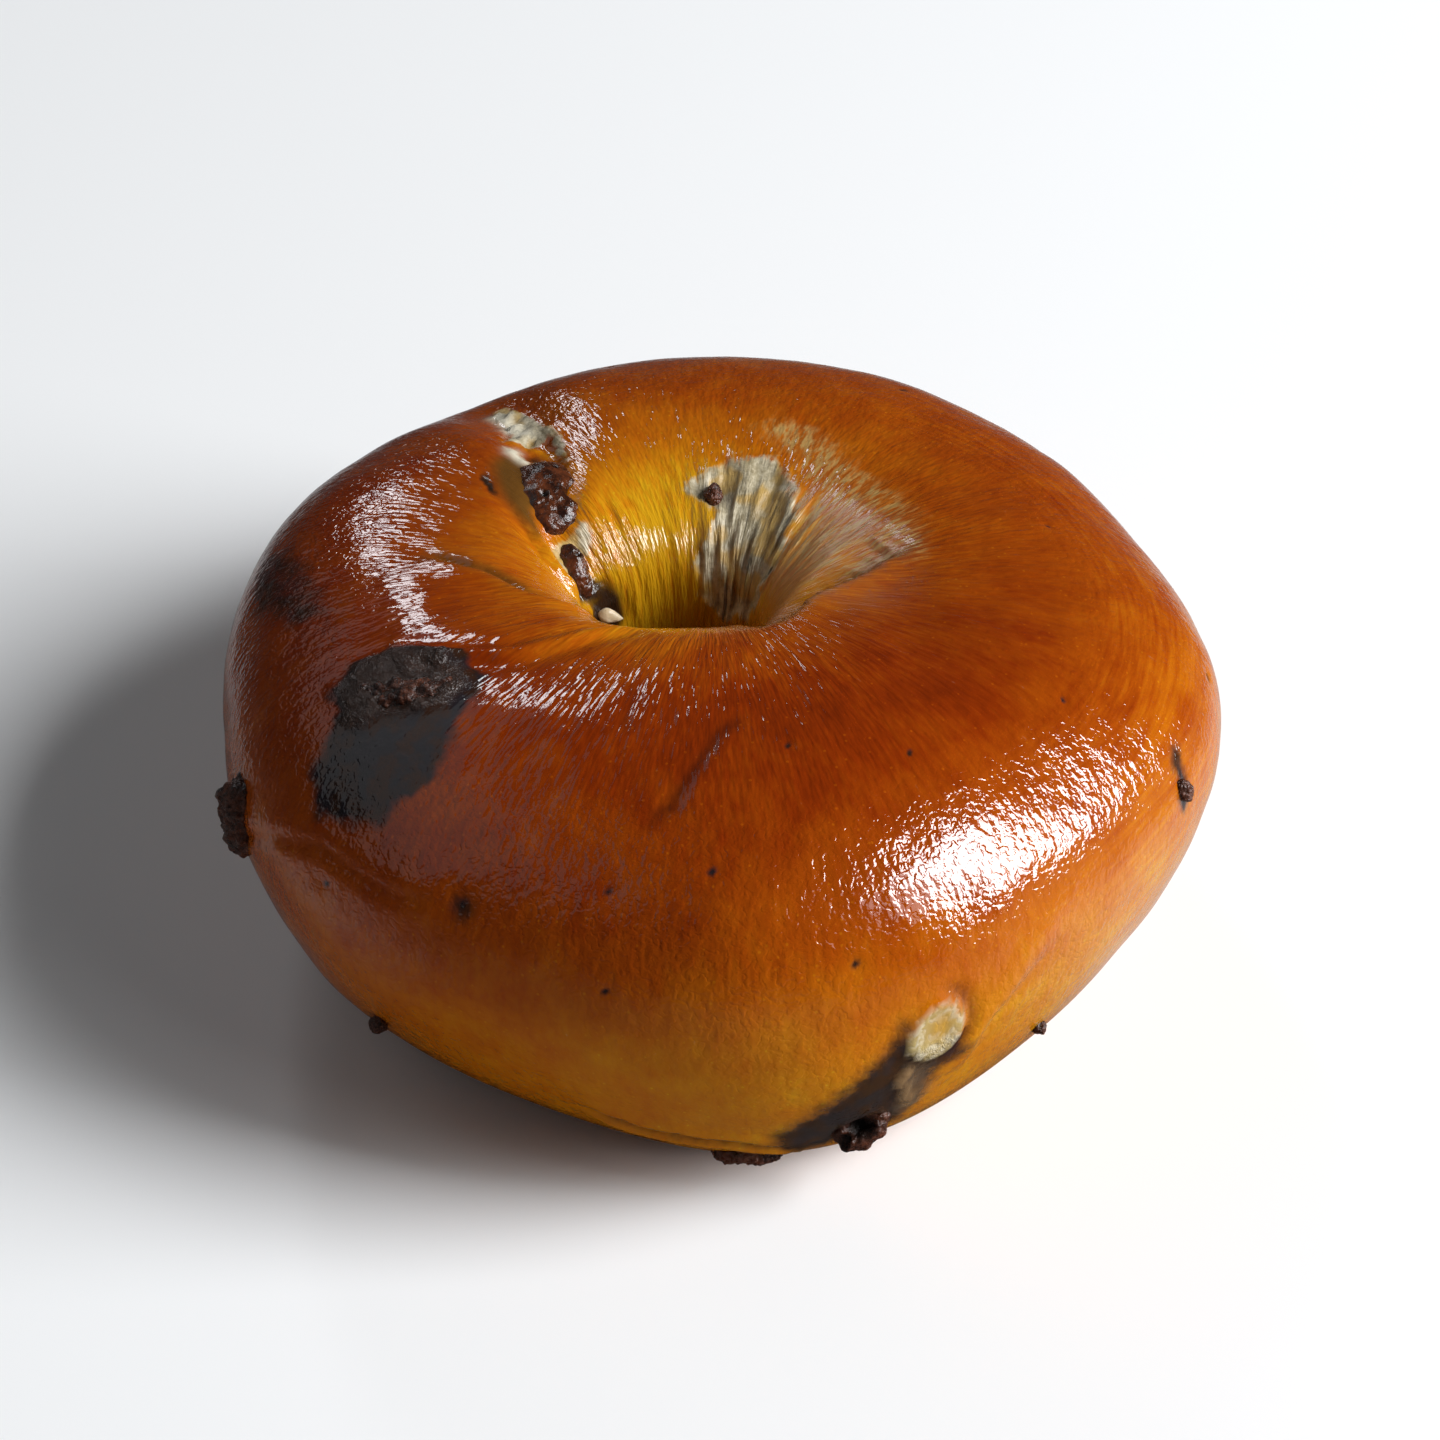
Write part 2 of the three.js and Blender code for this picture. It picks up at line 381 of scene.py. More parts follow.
LEFT_PATCH = [(-157, 63), (-154, 77), (-147, 87), (-137, 89), (-132, 72), (-131, 58), (-133, 48), (-136, 38),
              (-143, 37), (-147, 47), (-150, 55)]
LEFT_GRAIN = [(-151, 56), (-155, 58), (-156, 65), (-156, 75), (-153, 82), (-144, 87), (-138, 83), (-138, 75),
              (-142, 66), (-145, 59), (-148, 55)]
BACK_SMEAR = [(166, 30), (168, 42), (174, 52), (-178, 58), (-172, 60), (-173, 50), (-178, 43), (178, 34)]
BURST_STAIN = [(-70, 12), (-71, 8), (-73, 3), (-76, -4), (-79, -12), (-83, -24), (-80, -36), (-70, -36),
               (-67, -22), (-66, -8), (-62, -4), (-64, 0), (-68, 2)]
TORN_CRUMB = [(97, 118), (90, 108), (82, 102), (75, 101), (67, 112), (60, 124), (56, 140), (57, 158),
              (84, 168), (98, 158), (97, 142), (91, 130)]
PALE_RIM = [(80, 84), (74, 76), (66, 84), (56, 96), (46, 100), (28, 104), (12, 110), (14, 132), (34, 142),
            (52, 146), (60, 118)]
SEAM_CRUMB = [(121, 36), (123, 36), (124, 43), (125, 55), (128, 63), (125, 69), (122, 68), (120, 58),
              (120, 48)]
SEAM_BAND = [(120, 57), (120, 66), (121, 76), (123, 88), (126, 104)]
SEAM_STREAK = [(129, 62), (126, 70), (124, 79)]
SEAM_OLIVE = [(134, 76), (130, 80), (132, 88), (137, 96), (143, 107), (148, 115), (151, 116), (149, 106),
              (146, 97), (142, 88), (138, 80)]
SEAM_SKIN = [(133, 120), (139, 122), (147, 121), (152, 125), (154, 130), (150, 135), (145, 134), (138, 131),
             (134, 127)]
SEAM_LOW = [(157, 133), (150, 137), (142, 138), (137, 142), (138, 148), (146, 148), (156, 142)]
SEAM_WHITE = [(124, 41), (124, 49), (124, 58)]
SEAM_BLOB = [(130, 71), (131, 76), (131, 83)]
SEAM_SHADE = [(135, 90), (137, 97), (140, 104)]
SEAM_HOLLOW = [(128, 80), (128, 86), (129, 91)]
SEAM_BLACK = [(136, 143), (132, 150), (131, 160), (138, 168), (148, 166), (152, 154), (146, 147)]
BLISTER = (-67, 8)
# Each speck is its place and its radius in millimetres.
SPECKS = [(-90, 52, 0.55), (-75, 30, 0.6), (-119, 35, 1.5), (-102, 47, 0.6), (63, 36, 0.6), (-101, 24, 0.4),
          (-77, 84, 0.4), (-29, 62, 0.4), (-58, 74, 0.35), (18, 64, 0.4), (-137, 22, 0.5), (-6, 24, 0.5),
          (104, 30, 0.7), (-178, -8, 0.8), (46, -6, 0.6), (140, 12, 0.5), (12, -24, 0.6)]
# How dark the crust is, from 0, golden, to 1, dark brown, at these tilts for each ring angle.
# Low on the front, at rings -120 to -30 and tilts -80 to 20, the tones are also set lighter as painted light.
BAKE_TILTS = (-80, -40, 0, 20, 40, 60, 80, 100, 120, 140)
BAKE_AND_LIGHT_TONES = {-155: (0.6, 0.5, 0.55, 0.58, 0.68, 0.78, 0.84, 0.70, 0.50, 0.3),
              -120: (0.4, 0.32, 0.40, 0.56, 0.75, 0.72, 0.82, 0.76, 0.50, 0.3),
              -75: (0.4, 0.20, 0.20, 0.40, 0.63, 0.70, 0.82, 0.82, 0.66, 0.4),
              -30: (0.4, 0.18, 0.20, 0.40, 0.60, 0.67, 0.80, 0.80, 0.68, 0.35),
              0: (0.6, 0.30, 0.22, 0.38, 0.55, 0.64, 0.66, 0.63, 0.60, 0.3),
              35: (0.6, 0.35, 0.35, 0.50, 0.62, 0.66, 0.60, 0.57, 0.40, 0.2),
              75: (0.6, 0.40, 0.40, 0.50, 0.60, 0.60, 0.50, 0.34, 0.10, 0.0),
              112: (0.6, 0.45, 0.45, 0.55, 0.62, 0.52, 0.42, 0.28, 0.05, 0.0),
              150: (0.6, 0.50, 0.50, 0.60, 0.75, 0.80, 0.65, 0.50, 0.30, 0.1),
              180: (0.6, 0.50, 0.55, 0.60, 0.75, 0.80, 0.66, 0.56, 0.40, 0.2)}


def uneven_dough(sculpt):
    """The slow swell and the small pillows of risen dough, and stretch marks that run to the hole."""
    inner = smooth(100, 135, sculpt.tilt) * (1 - smooth(165, 178, sculpt.tilt))
    inner = inner * (0.15 + 0.85 * smooth(75, 40, np.abs(turn_between(sculpt.ring, 108))))
    inner = inner * (1 - 0.65 * hump(turn_between(sculpt.ring, 109), 12))
    swell = rounded_noise(sculpt.places, 17 * MM, 3)
    pillow = rounded_noise(sculpt.places, 5.5 * MM, 5)
    marks = grain_noise(sculpt, 16, 2.2, 8)
    fine_marks = grain_noise(sculpt, 34, 3.5, 9)
    base = smooth(-42, -30, sculpt.tilt) * (1 - smooth(176, 180, sculpt.tilt))
    sculpt.push(base * (0.35 * swell + 0.08 * pillow) * MM + inner * (0.3 * marks + 0.16 * fine_marks) * MM)
    crest = hump(sculpt.tilt - 88, 40)
    sculpt.push(crest * 0.07 * MM * grain_noise(sculpt, 24, 4, 14))


def press_seam(sculpt):
    """The seam: a rolled lip along its steep side, a sunken floor, and the skins, crumb and stains in it,
    with painted shade in its valley, hollow, slot and pocket.
    """
    distance, side, along = sculpt.stroke(SEAM_EDGE)
    lip = hump(distance - 0.9 * MM, 1.1 * MM) * (side > 0)
    drop = hump(distance - 0.7 * MM, 1.4 * MM) * (side <= 0)
    sculpt.push((0.4 * lip - 0.8 * drop) * smooth(0.35, 0.75, along) * (1 - smooth(0.9, 1, along)) * MM)
    sculpt.bead(SEAM_RIGHT, 0.3, 1.4)
    distance, side, along = sculpt.stroke(SEAM_FLOOR)
    floor = hump(distance, 2.6 * MM) * tapered(along, 0.05, 0.1)
    wrinkle = rounded_noise(sculpt.places, 1.1 * MM, 21)
    sculpt.push(floor * (0.3 * wrinkle - 0.25) * MM)
    # The olive mask here is partly olive skin and partly painted shade in the seam's valley; the black pocket
    # is painted shade.
    for outline, name, strength, blur in (
            (SEAM_OLIVE, "olive_skin_and_shade", 1.0, 1.2), (SEAM_LOW, "stain_and_shade", 0.85, 0.9), (SEAM_SKIN, "stain_and_shade", 0.15, 0.8),
            (SEAM_BLACK, "hollow_shade", 1.0, 0.8), (SEAM_CRUMB, "crumb", 1.0, 0.5), (SEAM_SKIN, "crumb", 0.95, 0.9)):
        sculpt.mask(name, strength * smooth(-blur * MM, blur * MM, sculpt.area(outline)))
    sculpt.push(0.5 * smooth(-0.4 * MM, 0.5 * MM, sculpt.area(SEAM_CRUMB)) * (0.6 + wrinkle) * MM)
    distance, along = sculpt.bead(SEAM_BAND, 0.3, 0.8)
    sculpt.mask("crumb", 0.75 * hump(distance, 0.8 * MM) * tapered(along, 0.2, 0.4))
    distance = sculpt.bead(SEAM_STREAK, 0.4, 0.5)[0]
    sculpt.mask("golden", hump(distance, 0.7 * MM))
    for path, width in ((SEAM_WHITE, 1.0), (SEAM_BLOB, 0.8)):
        distance = sculpt.stroke(path)[0]
        sculpt.mask("white", 1.1 * hump(distance, width * MM))
        sculpt.push(0.3 * hump(distance, width * MM) * MM)
    # Painted shade in the seam's valley beside the chunk.
    distance = sculpt.stroke(SEAM_SHADE)[0]
    sculpt.mask("olive_skin_and_shade", hump(distance, 1.1 * MM))
    # Painted shade in the seam's hollow above the chunk and along its slot.
    distance = sculpt.stroke(SEAM_HOLLOW)[0]
    sculpt.mask("hollow_shade", 0.95 * hump(distance, 1.1 * MM))
    distance, along = sculpt.bead(SLOT, -0.15, 0.35)
    sculpt.mask("hollow_shade", smooth(0.55 * MM, 0.3 * MM, distance) * tapered(along, 0.3, 0.3))


def fold_creases(sculpt):
    """Folds, creases and cracks in the skin, with painted shade along the hole's fold, the cracks and the
    skirt crease, and the steep lip at the front of the hole.
    """
    distance, side, along = sculpt.stroke(HOLE_FOLD)
    step = hump(distance - 1.0 * MM, 1.5 * MM)
    sculpt.push((-0.85 * hump(distance, 0.7 * MM) + 0.5 * step * (side < 0)) * tapered(along) * MM)
    # Painted shadow along the fold's lower side.
    sculpt.mask("olive_skin_and_shade", 0.8 * hump(distance - 0.3 * MM, 1.0 * MM) * tapered(along, 0.1, 0.6))
    distance, side, along = sculpt.stroke(TAIL_FOLD)
    fold = 0.5 * hump(distance, 1.2 * MM) - 0.35 * hump(distance - 1.6 * MM, 1 * MM)
    sculpt.push(fold * tapered(along) * MM)
    sculpt.mask("golden", 0.7 * hump(distance, 2.0 * MM) * smooth(0.15, 0.6, along))

    distance, side, along = sculpt.stroke(HOLE_LIP)
    undercut = smooth(0, 2.5 * MM, distance) * (1 - smooth(3.5 * MM, 8 * MM, distance)) * (side > 0)
    sculpt.push((0.9 * hump(distance, 2.2 * MM) - 2.6 * undercut) * tapered(along, 0.35, 0.55) * MM)

    # Each crack gets painted shade along its groove.
    for path, depth, shade in ((CRACK, 0.22, 0.75), (SHORT_CRACK, 0.12, 0.35)):
        distance, along = sculpt.bead(path, -depth, 0.6, 0.4, 0.2)
        sculpt.mask("dark", shade * hump(distance, 0.7 * MM) * tapered(along))
    distance, side, along = sculpt.stroke(SIDE_CREASE)
    fold = -0.2 * hump(distance, 0.6 * MM) + 0.2 * hump(distance - 1.3 * MM, 1.4 * MM)
    sculpt.push(fold * tapered(along) * MM)
    distance, side, along = sculpt.stroke(RIGHT_RIDGE)
    sculpt.push((0.55 * hump(distance, 2.0 * MM) - 0.3 * hump(distance - 2.6 * MM, 1.2 * MM) * (side > 0))
                * tapered(along, 0.4, 0.3) * MM)
    distance, side, along = sculpt.stroke(SKIRT_CREASE)
    fold = -0.7 * hump(distance, 0.7 * MM) + 0.5 * hump(distance - 1.5 * MM, 1.1 * MM)
    sculpt.push(fold * tapered(along) * MM)
    # Painted shade: the dark line under the skirt's lip is laid in with the chocolate stains.
    sculpt.mask("stain_and_shade", 0.7 * hump(distance, 0.9 * MM) * tapered(along))


def chocolate_under_skin(sculpt):
    """Stains where melted chocolate lies just under the skin, and the rough top edge of the large one."""
    drift = 1.3 * MM * rounded_noise(sculpt.places, 3 * MM, 33)
    sculpt.mask("stain_and_shade", smooth(-1.9 * MM, 1.5 * MM, sculpt.area(LEFT_PATCH) + drift))
    grain = smooth(-1.0 * MM, 1.0 * MM, sculpt.area(LEFT_GRAIN) + 0.7 * drift)
    sculpt.mask("rough", grain)
    sculpt.mask("stain_and_shade", grain)
    coarse = rounded_noise(sculpt.places, 1.6 * MM, 31)
    fine = rounded_noise(sculpt.places, 0.7 * MM, 32)
    sculpt.push(grain * (0.35 * coarse + 0.3 * fine + 0.25) * MM)
    sculpt.mask("stain_and_shade", 0.62 * smooth(-2.8 * MM, 1.8 * MM, sculpt.area(BACK_SMEAR)))
    sculpt.mask("stain_and_shade", smooth(-3.4 * MM, 2.4 * MM, sculpt.area(BURST_STAIN)))
    distance, along = sculpt.bead(SIDE_STREAK, -0.1, 0.7)
    sculpt.mask("stain_and_shade", 0.9 * hump(distance, 1.0 * MM) * tapered(along, 0.4, 0.1))
    for ring, tilt, radius in SPECKS:
        spot = np.linalg.norm(sculpt.places - sculpt.places[sculpt.spot(ring, tilt)], axis=1)
        sculpt.mask("stain_and_shade", 0.85 * hump(spot, radius * MM))
        sculpt.push(-0.25 * hump(spot, radius * MM) * MM)


def raise_blister(sculpt):
    """A popped bubble by the burst: a raised rim round a thin pale skin that dips in the middle, with a
    painted shadow in the ditch on its right side.
    """
    middle = sculpt.places[sculpt.spot(*BLISTER)]
    spot = np.linalg.norm((sculpt.places - middle) * (1, 1, 0.86), axis=1)
    rim = hump(spot - 2.9 * MM, 0.65 * MM)
    bowl = 1 - smooth(2.0 * MM, 2.9 * MM, spot)
    ditch = hump(spot - 4.1 * MM, 0.6 * MM) * smooth(-66.5, -63, sculpt.ring)
    sculpt.push((0.6 * rim + 0.15 * bowl - 0.45 * ditch) * MM)
    sculpt.mask("blister", 1 - smooth(2.6 * MM, 3.2 * MM, spot))
    offset = (sculpt.places - middle) / MM
    sculpt.mask("skin_gold", np.exp(-((offset[:, 0] - 0.5) / 1.1) ** 2 - ((offset[:, 2] - 0.5) / 1.9) ** 2))
    # Painted shadow in the ditch under the rim's right side.
    sculpt.mask("dark", 0.8 * ditch)
    below = (1 - smooth(3.2 * MM, 4.6 * MM, spot)) * smooth(-0.8, -2.4, offset[:, 2])
    sculpt.mask("rough", below)
    sculpt.mask("stain_and_shade", below)


def open_burst(sculpt):
    """The hollow round the chocolate that burst through low on the front, with painted shade in it, and the
    flap of skin beside it.
    """
    low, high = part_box("front_chunk")
    spot = np.linalg.norm((sculpt.places - middle_of(low, high)) * (1.25, 1, 0.85), axis=1)
    sculpt.push(-0.9 * (1 - smooth(2.2 * MM, 4.6 * MM, spot)) * MM)
    distance, side, along = sculpt.stroke(FLAP_EDGE)
    sculpt.push(0.7 * hump(distance - 0.3 * MM * side, 0.55 * MM) * tapered(along, 0.3, 0.3) * MM)
    sculpt.mask("flap", 0.9 * hump(distance, 0.45 * MM) * tapered(along, 0.2, 0.2))
    skin = smooth(4.5 * MM, 0.5 * MM, distance) * smooth(-70.5, -69, sculpt.ring) * tapered(along, 0.2, 0.1)
    sculpt.mask("flap", 0.35 * skin)
    sculpt.mask("rough", 0.9 * hump(spot - 3.2 * MM, 1.2 * MM) * smooth(-4.0, -12.0, sculpt.tilt))
    # Painted shade in the hollow round the burst chunk.
    sculpt.mask("hollow_shade", 0.9 * hump(spot, 2.4 * MM))


def tear_crumb(sculpt):
    """Pale torn crumb on the far wall of the hole, in strands that run down it, and a small hollow with
    painted shade by the chunk there.
    """
    depth = sculpt.area(TORN_CRUMB) + (1.0 * rounded_noise(sculpt.places, 2.2 * MM, 43) - 0.5) * MM
    torn = smooth(-1.6 * MM, 1.2 * MM, depth)
    strands = grain_noise(sculpt, 22, 1.6, 41)
    threads = grain_noise(sculpt, 48, 3.0, 42)
    edge = hump(depth, 0.9 * MM)
    sculpt.push((torn * (0.55 * strands + 0.25 * threads - 0.45) + 0.35 * edge) * MM)
    sculpt.mask("crumb", torn)
    sculpt.mask("pale", 0.75 * smooth(-3.0 * MM, 2.0 * MM, sculpt.area(PALE_RIM)))
    low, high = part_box("hole_wall_chunk")
    spot = np.linalg.norm(sculpt.places - middle_of(low, high), axis=1)
    # A small hollow with painted shade round the chunk in the far wall.
    sculpt.push(-0.7 * hump(spot, 1.6 * MM) * MM)
    sculpt.mask("hollow_shade", 0.7 * hump(spot, 1.5 * MM))


def bake_and_light_tone(sculpt):
    """How dark the crust is baked, from 0, golden, to 1, dark brown, with painted light lifting the lower
    front.
    """
    tilt = sculpt.tilt + 8 * rounded_noise(sculpt.places, 9 * MM, 51)
    ring = sculpt.ring + 7 * rounded_noise(sculpt.places, 11 * MM, 52)
    tones, weights = 0, 0
    for place, profile in BAKE_AND_LIGHT_TONES.items():
        near = np.exp(-0.5 * (turn_between(ring, place) / 16) ** 2) + 1e-9
        tones = tones + near * np.interp(tilt, BAKE_TILTS, profile)
        weights = weights + near
    return tones / weights


def keep_for_material(sculpt):
    """Stores the masks and the directions of the grain with the mesh."""
    for name in ("stain_and_shade", "rough", "crumb", "pale", "blister", "skin_gold", "hollow_shade", "dark", "golden", "flap",
                 "olive_skin_and_shade", "white"):
        store(sculpt.mesh, name, sculpt.masks[name])
    store(sculpt.mesh, "bake_and_light", bake_and_light_tone(sculpt))
    store(sculpt.mesh, "inner", smooth(88, 120, sculpt.tilt))
    far_side = smooth(65, 30, np.abs(turn_between(sculpt.ring, 112)))
    calm_wall = 1 - 0.75 * hump(turn_between(sculpt.ring, 109), 11)
    store(sculpt.mesh, "strands", smooth(98, 125, sculpt.tilt) * (0.1 + 0.9 * far_side * calm_wall))
    along = smooth(75, 35, np.abs(turn_between(sculpt.ring, 10))) * (1 - smooth(50, 75, sculpt.tilt))
    store(sculpt.mesh, "along_ring", along)
    store(sculpt.mesh, "round_grain", grain_places(sculpt, 6, 34))
    store(sculpt.mesh, "radial_grain", grain_places(sculpt, 62, 11))
    store(sculpt.mesh, "rippled", 0.75 + 0.45 * smooth(58, 76, sculpt.tilt))
    right_wall = smooth(75, 40, np.abs(turn_between(sculpt.ring, 30)))
    store(sculpt.mesh, "dulled", 0.7 * smooth(98, 126, sculpt.tilt) * right_wall)
    store(sculpt.mesh, "wrinkled", 1 - 0.8 * smooth(58, 76, sculpt.tilt))


# ---------------------------------------------------------------- materials


class Graph:
    """Adds linked shader nodes to a node tree."""

    def __init__(self, tree):
        self.tree = tree

    def add(self, kind, inputs, **settings):
        """A node with its settings, and its inputs set to numbers or linked to sockets."""
        node = self.tree.nodes.new("ShaderNode" + kind)
        for key, value in settings.items():
            setattr(node, key, value)
        for key, value in inputs.items():
            if isinstance(value, bpy.types.NodeSocket):
                self.tree.links.new(value, node.inputs[key])
            else:
                node.inputs[key].default_value = value
        return node

    def math(self, operation, *values, clamp=False):
        return self.add("Math", dict(enumerate(values)), operation=operation, use_clamp=clamp).outputs[0]

    def mix(self, amount, first, second):
        """A colour between two, by an amount."""
        return self.add("Mix", {0: amount, 6: first, 7: second}, data_type="RGBA").outputs[2]

    def step(self, value, low, high, floor=0.0, ceiling=1.0):
        """A smooth step of a value from low to high."""
        inputs = {"Value": value, "From Min": low, "From Max": high, "To Min": floor, "To Max": ceiling}
        return self.add("MapRange", inputs, interpolation_type="SMOOTHSTEP").outputs[0]

    def attribute(self, name, socket="Fac"):
        return self.add("Attribute", {}, attribute_name=name).outputs[socket]

    def noise(self, vector, scale, detail=2.0, roughness=0.5):
        inputs = {"Vector": vector, "Scale": scale, "Detail": detail, "Roughness": roughness}
        return self.add("TexNoise", inputs).outputs[0]

    def cells(self, vector, scale):
        return self.add("TexVoronoi", {"Vector": vector, "Scale": scale}).outputs["Distance"]

    def millimetres(self):
        """The object's own coordinates, in millimetres."""
        place = self.add("TexCoord", {}).outputs["Object"]
        return self.add("VectorMath", {0: place, "Scale": 1 / MM}, operation="SCALE").outputs[0]

    def ramp(self, value, stops):
        """A colour that runs through stops of (place, colour)."""
        node = self.add("ValToRGB", {"Fac": value})
        elements = node.color_ramp.elements
        elements[0].position, elements[0].color = stops[0][0], (*stops[0][1], 1)
        elements[1].position, elements[1].color = stops[-1][0], (*stops[-1][1], 1)
        for place, colour in stops[1:-1]:
            elements.new(place).color = (*colour, 1)
        return node.outputs[0]


def new_group(name, inputs, outputs):
    """A shader node group with named float, vector or colour sockets, and its graph and two ends."""
    tree = bpy.data.node_groups.new(name, "ShaderNodeTree")
    for label, kind, value in inputs:
        socket = tree.interface.new_socket(label, in_out="INPUT", socket_type=kind)
        if value is not None:
            socket.default_value = value
    for label, kind in outputs:
        tree.interface.new_socket(label, in_out="OUTPUT", socket_type=kind)
    start = tree.nodes.new("NodeGroupInput")
    end = tree.nodes.new("NodeGroupOutput")
    return tree, Graph(tree), start.outputs, end.inputs


def ragged_edge_group():
    """Turns a soft mask into one with a ragged, noisy edge."""
    tree, graph, given, made = new_group(
        "ragged_edge",
        [("Mask", "NodeSocketFloat", 0.0), ("Size", "NodeSocketFloat", 1.0),
         ("Raggedness", "NodeSocketFloat", 0.5), ("Softness", "NodeSocketFloat", 0.1)],
        [("Mask", "NodeSocketFloat")])
    scale = graph.math("DIVIDE", 1.0, given["Size"])
    noise = graph.noise(graph.millimetres(), scale, 3.0, 0.6)
    shift = graph.math("MULTIPLY", graph.math("SUBTRACT", noise, 0.5), given["Raggedness"])
    value = graph.math("ADD", given["Mask"], shift)
    low = graph.math("SUBTRACT", 0.5, given["Softness"])
    high = graph.math("ADD", 0.5, given["Softness"])
    graph.tree.links.new(graph.step(value, low, high), made["Mask"])
    return tree


def mottle_group():
    """Uneven colour: patches, and finer grains over them."""
    tree, graph, given, made = new_group(
        "mottle",
        [("Light", "NodeSocketColor", (1, 1, 1, 1)), ("Dark", "NodeSocketColor", (0, 0, 0, 1)),
         ("Patch Size", "NodeSocketFloat", 3.0), ("Grain Size", "NodeSocketFloat", 0.5)],
        [("Color", "NodeSocketColor"), ("Height", "NodeSocketFloat")])
    place = graph.millimetres()
    patch = graph.noise(place, graph.math("DIVIDE", 1.0, given["Patch Size"]), 2.0)
    grain = graph.noise(place, graph.math("DIVIDE", 1.0, given["Grain Size"]), 3.0, 0.65)
    blend = graph.math("ADD", graph.math("MULTIPLY", patch, 0.55), graph.math("MULTIPLY", grain, 0.45))
    colour = graph.mix(graph.step(blend, 0.36, 0.64), given["Dark"], given["Light"])
    graph.tree.links.new(colour, made["Color"])
    graph.tree.links.new(grain, made["Height"])
    return tree


def glaze_relief_group():
    """The fine relief of a baked egg wash: ripples across the stretch of the dough, wrinkles, pimples."""
    tree, graph, given, made = new_group(
        "glaze_relief",
        [("Grain", "NodeSocketVector", None), ("Ripples", "NodeSocketFloat", 1.0),
         ("Wrinkles", "NodeSocketFloat", 1.0), ("Pimples", "NodeSocketFloat", 1.0)],
        [("Height", "NodeSocketFloat")])
    place = graph.millimetres()
    ripple = graph.noise(given["Grain"], 1.0, 1.0, 0.45)
    puckers = graph.noise(place, 0.8, 1.0, 0.5)
    waves = graph.math("MULTIPLY", ripple, given["Ripples"])
    level = graph.math("ABSOLUTE", graph.math("SUBTRACT", graph.noise(place, 0.9, 2.0, 0.5), 0.5))
    crease = graph.math("MULTIPLY", graph.step(level, 0.0, 0.12), 0.22)
    wrinkle = graph.math("ADD", graph.math("MULTIPLY", puckers, 0.9), crease)
    wrinkle = graph.math("MULTIPLY", wrinkle, given["Wrinkles"])
    pimple = graph.math("MULTIPLY", graph.step(graph.cells(place, 0.62), 0.24, 0.04), given["Pimples"])
    height = graph.math("ADD", waves, graph.math("ADD", wrinkle, pimple))
    graph.tree.links.new(height, made["Height"])
    return tree


GROUP_MAKERS = {"ragged_edge": ragged_edge_group, "mottle": mottle_group, "glaze_relief": glaze_relief_group}


def place_group(graph, name, inputs):
    """Puts a shared group in a material, made the first time it is used."""
    tree = bpy.data.node_groups.get(name) or GROUP_MAKERS[name]()
    return graph.add("Group", inputs, node_tree=tree).outputs


def ragged(graph, mask, size, raggedness, softness):
    """A mask with a ragged edge."""
    inputs = {"Mask": mask, "Size": size, "Raggedness": raggedness, "Softness": softness}
    return place_group(graph, "ragged_edge", inputs)["Mask"]


def new_material(name):
    """A material with nodes, its graph and its main shader."""
    material = bpy.data.materials.new(name)
    material.use_nodes = True
    return material, Graph(material.node_tree), material.node_tree.nodes["Principled BSDF"]


def link_surface(graph, shader, colour, roughness, height, relief):
    """Feeds a shader its colour, its roughness and a bump with its depth in metres."""
    bump = graph.add("Bump", {"Height": height, "Distance": relief, "Strength": 1.0})
    for value, socket in ((colour, "Base Color"), (roughness, "Roughness"), (bump.outputs[0], "Normal")):
        graph.tree.links.new(value, shader.inputs[socket])


BAKED = [(0.0, (0.49, 0.25, 0.006)), (0.2, (0.45, 0.155, 0.003)), (0.4, (0.38, 0.095, 0.002)),
         (0.6, (0.285, 0.049, 0.001)), (0.8, (0.19, 0.021, 0.0005)), (1.0, (0.10, 0.009, 0.0004))]
CRUMB_LIGHT = (0.50, 0.43, 0.29, 1)
CRUMB_DARK = (0.25, 0.20, 0.11, 1)
CRUMB_GOLD = (0.44, 0.25, 0.03, 1)
INNER_BEIGE = (0.42, 0.27, 0.09, 1)
# Colours of chocolate stains under the skin, also used for the painted shade under the skirt's lip.
STAIN_AND_SHADE_BLUE = (0.010, 0.012, 0.016, 1)
STAIN_AND_SHADE_BROWN = (0.024, 0.011, 0.006, 1)
# Olive skin colour, also used for painted shade in the seam's valley and along the hole's fold.
OLIVE_SKIN_AND_SHADE = (0.085, 0.042, 0.008, 1)
CRUMB_WHITE = (0.66, 0.60, 0.46, 1)
BLISTER_SKIN = (0.36, 0.27, 0.11, 1)
BLISTER_GOLD = (0.40, 0.21, 0.02, 1)
FLAP_BEIGE = (0.22, 0.13, 0.06, 1)
# Painted shade for the cracks and the blister's ditch.
CREASE_SHADE_BROWN = (0.045, 0.006, 0.001, 1)
# Near black painted shade for hollows, pits and slots in the crust.
HOLLOW_SHADE_BLACK = (0.020, 0.008, 0.003, 1)
CHOCOLATE = {"Light": (0.10, 0.026, 0.009, 1), "Dark": (0.016, 0.006, 0.004, 1), "Patch Size": 2.2,
             "Grain Size": 0.4}
# Painted shade for the pits in the chocolate.
PIT_SHADE_BLACK = (0.004, 0.002, 0.001, 1)
SEED_HULL = {"Light": (0.72, 0.60, 0.42, 1), "Dark": (0.52, 0.40, 0.24, 1), "Patch Size": 0.9,
             "Grain Size": 0.25}
PAPER = (0.88, 0.88, 0.88, 1)
DIM_PAPER = (0.02, 0.02, 0.02, 1)


